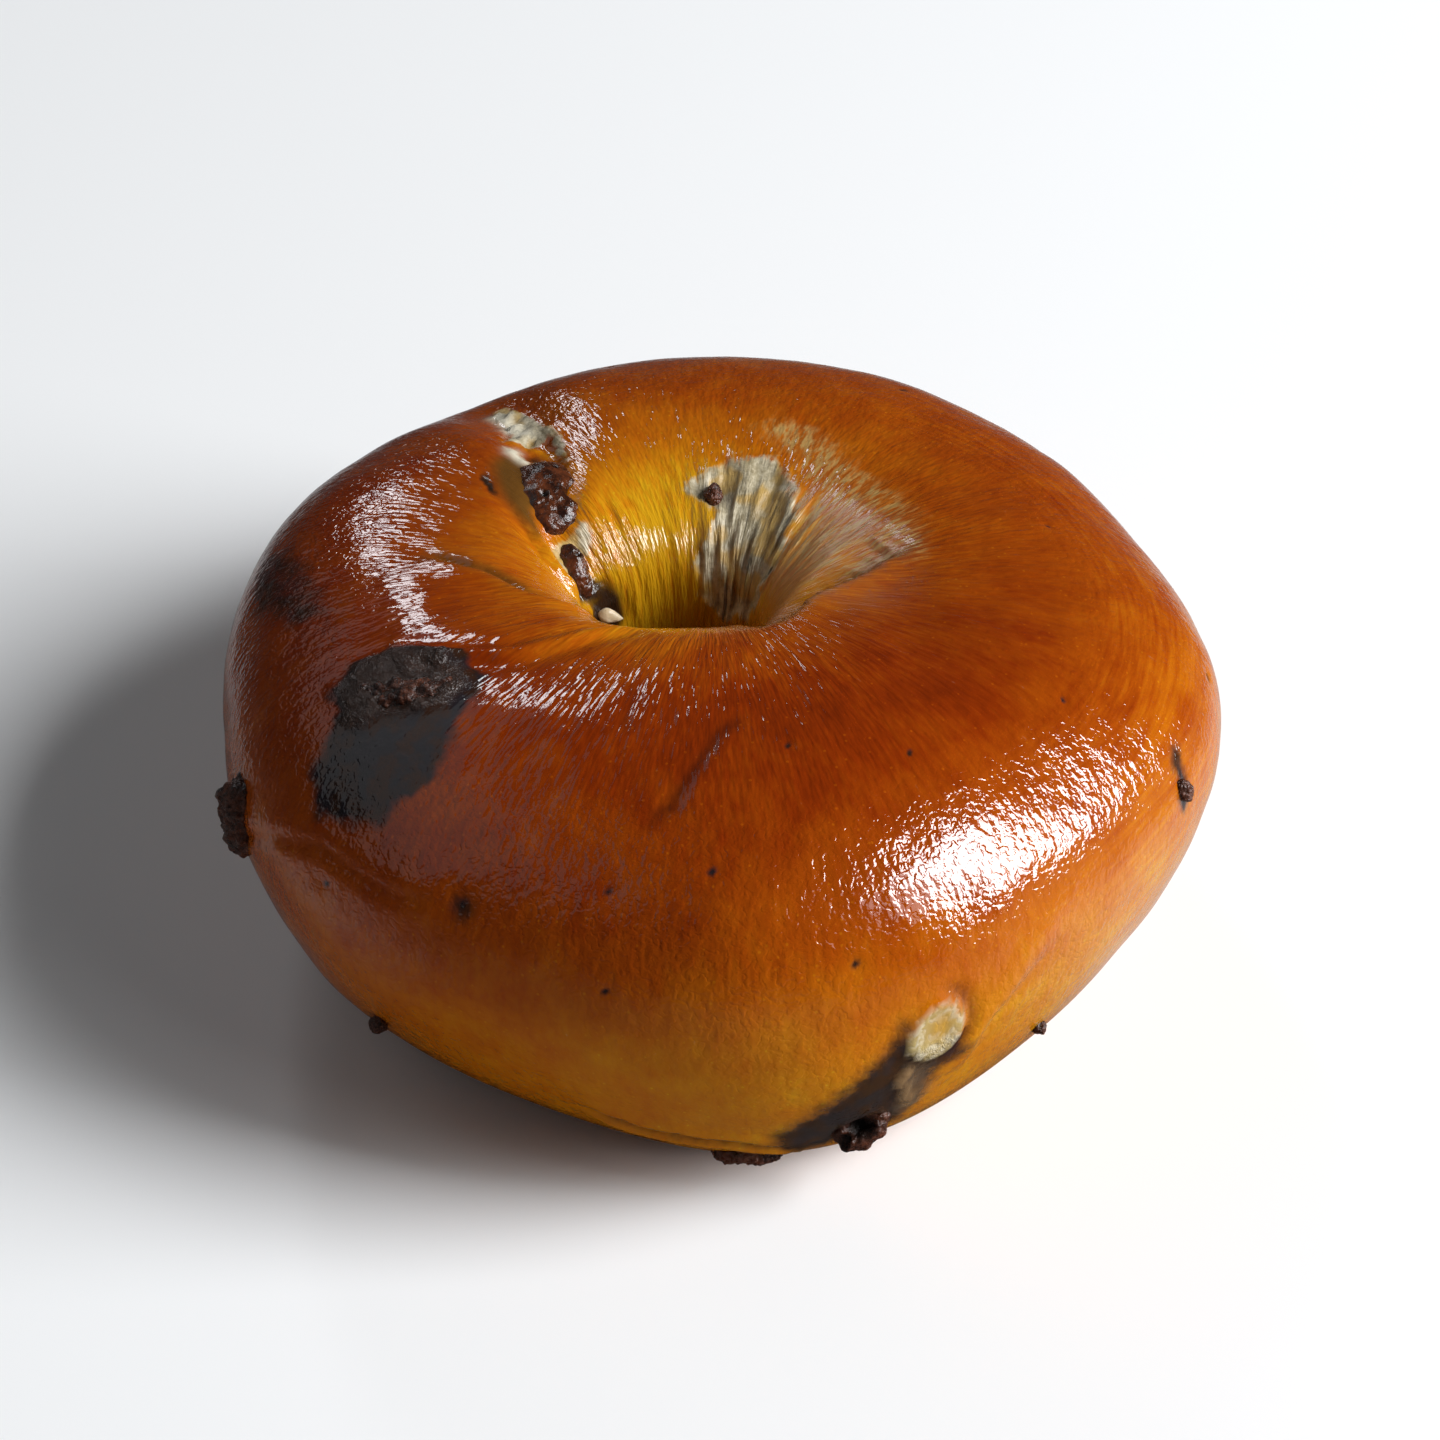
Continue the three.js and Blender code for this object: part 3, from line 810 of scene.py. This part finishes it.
def crust_material():
    """Glazed crust: baked colour with painted light low on the front, fibres, stains, painted shade in
    hollows, cracks, folds and under the skirt, torn crumb, the blister and the fine relief.
    """
    material, graph, shader = new_material("glazed_crust")
    place = graph.millimetres()
    inner = graph.attribute("inner")
    round_noise = graph.noise(graph.attribute("round_grain", "Vector"), 1.0, 3.0, 0.6)
    radial = graph.attribute("radial_grain", "Vector")
    long_grain = graph.add("VectorMath", {0: radial, 1: (0.95, 0.95, 0.95)}, operation="MULTIPLY").outputs[0]
    radial_noise = graph.noise(long_grain, 0.75, 3.0, 0.6)
    along = graph.attribute("along_ring")
    fibre = graph.add("Mix", {0: along, 2: radial_noise, 3: round_noise}, data_type="FLOAT").outputs[0]

    patches = graph.math("MULTIPLY", graph.math("SUBTRACT", graph.noise(place, 0.2, 3.0, 0.6), 0.5), 0.36)
    depth = graph.math("ADD", -0.22, graph.math("MULTIPLY", graph.math("MAXIMUM", inner, along), -0.34))
    streaks = graph.math("MULTIPLY", graph.math("SUBTRACT", fibre, 0.5), depth)
    # The bake tone also carries painted light low on the front.
    tone = graph.math("ADD", graph.attribute("bake_and_light"), graph.math("ADD", patches, streaks))
    tone = graph.math("SUBTRACT", tone, graph.math("MULTIPLY", graph.attribute("golden"), 0.3))
    freckle = graph.step(graph.cells(place, 0.8), 0.16, 0.06)
    tone = graph.math("SUBTRACT", tone, graph.math("MULTIPLY", freckle, 0.16), clamp=True)
    colour = graph.ramp(tone, BAKED)

    threads = graph.step(fibre, 0.42, 0.62)
    pale = ragged(graph, graph.attribute("pale"), 2.4, 0.9, 0.35)
    pale = graph.math("MULTIPLY", pale, graph.math("ADD", graph.math("MULTIPLY", threads, 0.75), 0.08))
    colour = graph.mix(pale, colour, INNER_BEIGE)
    frayed = graph.math("MULTIPLY", graph.math("SUBTRACT", radial_noise, 0.5), 1.1)
    frayed = graph.math("ADD", graph.attribute("crumb"), frayed)
    crumb = ragged(graph, frayed, 1.2, 0.6, 0.26)
    torn = place_group(graph, "mottle", {"Light": CRUMB_LIGHT, "Dark": CRUMB_DARK, "Patch Size": 2.2,
                                         "Grain Size": 0.5})
    gold_spots = graph.step(graph.noise(place, 0.28, 1.0), 0.5, 0.62)
    torn_colour = graph.mix(graph.math("MULTIPLY", gold_spots, 0.75), torn["Color"], CRUMB_GOLD)
    torn_colour = graph.mix(graph.step(radial_noise, 0.5, 0.3, 0.0, 0.5), torn_colour, CRUMB_DARK)
    colour = graph.mix(crumb, colour, torn_colour)

    # Olive skin, and painted shade in the seam's valley and along the hole's fold.
    colour = graph.mix(graph.math("MULTIPLY", graph.attribute("olive_skin_and_shade"), 0.9), colour, OLIVE_SKIN_AND_SHADE)
    colour = graph.mix(graph.attribute("white"), colour, CRUMB_WHITE)
    rough = graph.attribute("rough")
    # Chocolate stains under the skin, and painted shade under the skirt's lip, take this colour.
    stain_and_shade = ragged(graph, graph.attribute("stain_and_shade"), 2.2, 0.75, 0.36)
    cloud = graph.step(graph.noise(place, 0.45, 3.0), 0.4, 0.62)
    chocolate = graph.mix(graph.math("MAXIMUM", cloud, rough), STAIN_AND_SHADE_BLUE, STAIN_AND_SHADE_BROWN)
    colour = graph.mix(graph.math("MULTIPLY", stain_and_shade, 0.97), colour, chocolate)
    blister = graph.attribute("blister")
    skin = graph.mix(graph.step(graph.noise(place, 0.9, 3.0), 0.4, 0.62), BLISTER_SKIN, CRUMB_LIGHT)
    skin = graph.mix(graph.attribute("skin_gold"), skin, BLISTER_GOLD)
    colour = graph.mix(graph.math("MULTIPLY", blister, 0.95), colour, skin)
    colour = graph.mix(graph.attribute("flap"), colour, FLAP_BEIGE)
    # Painted shade in the cracks and in the blister's ditch.
    colour = graph.mix(graph.math("MULTIPLY", graph.attribute("dark"), 0.85), colour, CREASE_SHADE_BROWN)
    # Painted shade: near black in the seam's pocket, hollow and slot, the burst's hollow and the hollow on
    # the far wall.
    colour = graph.mix(graph.attribute("hollow_shade"), colour, HOLLOW_SHADE_BLACK)

    matte = graph.math("MAXIMUM", crumb, graph.math("MULTIPLY", rough, 0.4))
    for name, share in (("dulled", 1.0), ("hollow_shade", 0.4), ("dark", 0.25)):
        matte = graph.math("MAXIMUM", matte, graph.math("MULTIPLY", graph.attribute(name), share))
    roughness = graph.add("MapRange", {"Value": matte, "To Min": 0.09, "To Max": 0.5}).outputs[0]
    ripples = {"Grain": radial, "Ripples": graph.attribute("rippled"),
               "Wrinkles": graph.attribute("wrinkled"), "Pimples": 0.2}
    relief = place_group(graph, "glaze_relief", ripples)["Height"]
    strands = graph.math("MULTIPLY", radial_noise, graph.math("MULTIPLY", graph.attribute("strands"), 2.2))
    granules = graph.math("MULTIPLY", graph.noise(place, 1.9, 3.0, 0.7), graph.math("MULTIPLY", rough, 4.5))
    height = graph.math("ADD", relief, graph.math("ADD", strands, granules))
    link_surface(graph, shader, colour, roughness, height, 0.1 * MM)
    shader.inputs["IOR"].default_value = 1.6
    return material


def chocolate_material():
    """Melted and set chocolate: dark, mottled and half glossy, with painted shade in its pits."""
    material, graph, shader = new_material("set_chocolate")
    mottled = place_group(graph, "mottle", CHOCOLATE)
    pit_shade = graph.attribute("pit_shade")
    # Painted shade in the pits.
    colour = graph.mix(pit_shade, mottled["Color"], PIT_SHADE_BLACK)
    gloss = graph.attribute("gloss")
    dull = graph.math("SUBTRACT", 1.0, graph.math("MULTIPLY", gloss, 0.6))
    roughness = graph.math("MULTIPLY", graph.step(mottled["Height"], 0.35, 0.65, 0.2, 0.45), dull)
    link_surface(graph, shader, colour, roughness, graph.math("MULTIPLY", mottled["Height"], dull), 0.25 * MM)
    shader.inputs["IOR"].default_value = 1.5
    return material


def seed_material():
    """A smooth sesame hull with faint mottling."""
    material, graph, shader = new_material("sesame_hull")
    mottled = place_group(graph, "mottle", SEED_HULL)
    roughness = graph.step(mottled["Height"], 0.3, 0.7, 0.3, 0.45)
    link_surface(graph, shader, mottled["Color"], roughness, mottled["Height"], 0.04 * MM)
    return material


# ---------------------------------------------------------------- pieces


def finish_piece(thing, node, material):
    """Gives a piece its material, says what it rides on and hides the CAD part that it stands for."""
    pick_only(thing)
    bpy.ops.object.shade_smooth()
    thing.data.materials.clear()
    thing.data.materials.append(material)
    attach(thing, "root")
    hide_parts(node)


class BAGEL_OT_dough(bpy.types.Operator):
    """Make the ring of dough with its seam, folds, blister and torn crumb"""
    bl_idname = "bagel.dough"
    bl_label = "Dough"

    def execute(self, context):
        sizes = context.scene.bagel_dough
        dough = dough_cage(sizes.ring_segments, sizes.section_segments)
        sculpt = Sculpt(dough.data)
        for shape in (uneven_dough, press_seam, fold_creases, chocolate_under_skin, raise_blister, open_burst,
                      tear_crumb, keep_for_material):
            shape(sculpt)
        finish_piece(dough, "bagel", crust_material())
        return {"FINISHED"}


# Pits as places in the chunk's box, from -1 to 1 each way, and radii in millimetres.
PITS = {"seam_chunk_upper": [((0.95, -0.1, 0.5), 1.7), ((0.1, 0.5, 0.8), 0.55), ((-0.05, -0.35, 0.9), 0.55)],
        "seam_chunk_lower": [((0.2, 0.3, 0.9), 0.5)],
        "front_chunk": [((-0.1, -0.8, 0.6), 2.0), ((-0.5, -0.6, 0.1), 1.0)]}
# How much further a lump swells, in millimetres.
GROWTH = {"seam_chunk_upper": 0.5, "left_top_chunk": -0.5, "front_chunk": -0.6}
# How strong a lump's bumps are, where that isn't 1.
ROUGHNESS = {"seam_chunk_upper": 0.4, "seam_chunk_lower": 0.4, "front_chunk": 0.6}


def rough_lump(node):
    """A detailed lump of chocolate round a CAD chunk, bubbled and pitted, with painted shade in its pits."""
    lump = copy_of(node, node + "_lump")
    apply_modifier(lump, "SUBSURF", levels=3, render_levels=3)
    low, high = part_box(node)
    size = sorted(high - low)[1]
    places = vertex_array(lump.data)
    normals = vertex_array(lump.data, "normal")
    seed = CHUNKS.index(node)
    coarse = rounded_noise(places, 0.3 * size, seed + 60)
    bubbles = rounded_noise(places, 0.11 * size, seed + 80, 3)
    lift = 0.06 * size + ROUGHNESS.get(node, 1) * (0.10 * size * coarse + 0.05 * size * bubbles)
    lift += GROWTH.get(node, 0) * MM
    middle = middle_of(low, high)
    half = np.array(high - low) / 2
    pit_shade = np.zeros(len(places))
    for spot, radius in PITS.get(node, []):
        centre = middle + half * spot
        gap = np.linalg.norm(places - places[np.argmin(np.linalg.norm(places - centre, axis=1))], axis=1)
        # Each pit is filled with painted shade.
        pit_shade = np.maximum(pit_shade, hump(gap, radius * 0.8 * MM))
        lift += 0.15 * MM * hump(gap - radius * MM, 0.3 * MM)
        lift -= 0.8 * radius * MM * hump(gap, radius * 0.7 * MM)
    set_places(lump.data, places + normals * lift[:, None])
    store(lump.data, "pit_shade", pit_shade)
    store(lump.data, "gloss", np.full(len(places), float(node.startswith("seam_chunk"))))
    return lump


class BAGEL_OT_chocolate(bpy.types.Operator):
    """Make the exposed lumps of chocolate"""
    bl_idname = "bagel.chocolate"
    bl_label = "Chocolate"

    def execute(self, context):
        material = chocolate_material()
        for node in CHUNKS:
            finish_piece(rough_lump(node), node, material)
        return {"FINISHED"}


class BAGEL_OT_seed(bpy.types.Operator):
    """Make the sesame seed in the hole"""
    bl_idname = "bagel.seed"
    bl_label = "Sesame seed"

    def execute(self, context):
        seed = copy_of("sesame_seed", "sesame")
        apply_modifier(seed, "SUBSURF", levels=2, render_levels=2)
        places = vertex_array(seed.data)
        normals = vertex_array(seed.data, "normal")
        set_places(seed.data, places + normals * 0.05 * MM * rounded_noise(places, 0.8 * MM, 91)[:, None])
        finish_piece(seed, "sesame_seed", seed_material())
        return {"FINISHED"}


# ---------------------------------------------------------------- stage


def panel_light(name, azimuth, elevation, width, height, brightness, distance=1.6, tint=(1, 1, 1)):
    """A soft rectangular panel that faces the bagel, placed and sized by the angles it fills, in degrees."""
    data = bpy.data.lights.new(name, "AREA")
    data.shape = "RECTANGLE"
    flat = distance * math.cos(math.radians(elevation))
    data.size = 2 * flat * math.tan(math.radians(width / 2))
    data.size_y = 2 * distance * math.tan(math.radians(height / 2))
    data.energy = brightness * math.pi * data.size * data.size_y
    data.color = tint
    lamp = bpy.data.objects.new(name, data)
    bpy.context.scene.collection.objects.link(lamp)
    turn, lift = math.radians(azimuth), math.radians(elevation)
    way = Vector((math.cos(lift) * math.cos(turn), math.cos(lift) * math.sin(turn), math.sin(lift)))
    lamp.location = Vector((0, 0, 30 * MM)) + way * distance
    lamp.rotation_euler = way.to_track_quat("Z", "Y").to_euler()


def floor_material():
    """Pale paper that shows dimly in the glaze, as a dark table would, but for the part beside the bagel."""
    material, graph, shader = new_material("pale_floor")
    place = graph.add("TexCoord", {}).outputs["Object"]
    reach = graph.add("VectorMath", {0: place}, operation="LENGTH").outputs["Value"]
    depth = graph.add("SeparateXYZ", {0: place}).outputs["Y"]
    frontness = graph.math("MULTIPLY", graph.math("DIVIDE", depth, reach), -1.0)
    lit = graph.math("MULTIPLY", graph.step(frontness, 0.8, 0.3), graph.step(reach, 0.15, 0.09))
    seen = graph.add("LightPath", {}).outputs["Is Glossy Ray"]
    dim = graph.math("MULTIPLY", seen, graph.math("SUBTRACT", 1.0, graph.math("MULTIPLY", lit, 0.5)))
    colour = graph.mix(dim, PAPER, DIM_PAPER)
    graph.tree.links.new(colour, shader.inputs["Base Color"])
    shader.inputs["Roughness"].default_value = 1.0
    return material


class BAGEL_OT_stage(bpy.types.Operator):
    """Make the floor, the lights and the camera"""
    bl_idname = "bagel.stage"
    bl_label = "Stage"

    def execute(self, context):
        settings = context.scene.bagel_stage
        bpy.ops.object.select_all(action="DESELECT")
        bpy.ops.mesh.primitive_plane_add(size=6, location=(0, 0, -0.2 * MM))
        floor = context.active_object
        floor.name = "floor"
        floor.data.materials.append(floor_material())

        panel_light("window", -8, 29, 27, 44, 20, tint=(0.96, 0.98, 1))
        panel_light("window_side", -31, 38, 18, 23, 2.5)
        panel_light("back_window", 107, 30, 5, 25, 8, tint=(0.93, 0.96, 1))
        panel_light("wall", 168, 44, 100, 43, 0.3, 1.2, (0.93, 0.97, 1))

        world = bpy.data.worlds.new("studio")
        context.scene.world = world
        world.use_nodes = True
        world.node_tree.nodes["Background"].inputs["Color"].default_value = (1, 1, 1, 1)
        world.node_tree.nodes["Background"].inputs["Strength"].default_value = 0.02
        context.scene.view_settings.view_transform = "Standard"

        lens = bpy.data.cameras.new("camera")
        lens.lens = settings.lens
        lens.sensor_width = 36
        lens.clip_start = 0.01
        camera = bpy.data.objects.new("camera", lens)
        context.scene.collection.objects.link(camera)
        back = Vector((0, -math.cos(settings.elevation), math.sin(settings.elevation)))
        camera.location = Vector(settings.aim) + back * settings.distance
        camera.rotation_euler = back.to_track_quat("Z", "Y").to_euler()
        context.scene.camera = camera
        return {"FINISHED"}


# ---------------------------------------------------------------- add-on


class BAGEL_PT_panel(bpy.types.Panel):
    """Lists the bagel's settings and steps"""
    bl_idname = "BAGEL_PT_panel"
    bl_label = "Bagel"
    bl_space_type = "VIEW_3D"
    bl_region_type = "UI"
    bl_category = "Bagel"

    def draw(self, context):
        for group in (context.scene.bagel_dough, context.scene.bagel_stage):
            for name in group.__annotations__:
                self.layout.prop(group, name)
        for step in STEPS:
            self.layout.operator(step.bl_idname)


STEPS = (BAGEL_OT_dough, BAGEL_OT_chocolate, BAGEL_OT_seed, BAGEL_OT_stage)
GROUPS = {"bagel_dough": BagelDough, "bagel_stage": BagelStage}


def register():
    for name, group in GROUPS.items():
        bpy.utils.register_class(group)
        setattr(bpy.types.Scene, name, PointerProperty(type=group))
    for step in STEPS:
        bpy.utils.register_class(step)
    bpy.utils.register_class(BAGEL_PT_panel)


def unregister():
    bpy.utils.unregister_class(BAGEL_PT_panel)
    for step in reversed(STEPS):
        bpy.utils.unregister_class(step)
    for name, group in GROUPS.items():
        delattr(bpy.types.Scene, name)
        bpy.utils.unregister_class(group)


def main():
    register()
    bpy.ops.bagel.dough()
    bpy.ops.bagel.chocolate()
    bpy.ops.bagel.seed()
    bpy.ops.bagel.stage()


if __name__ == "__main__":
    main()
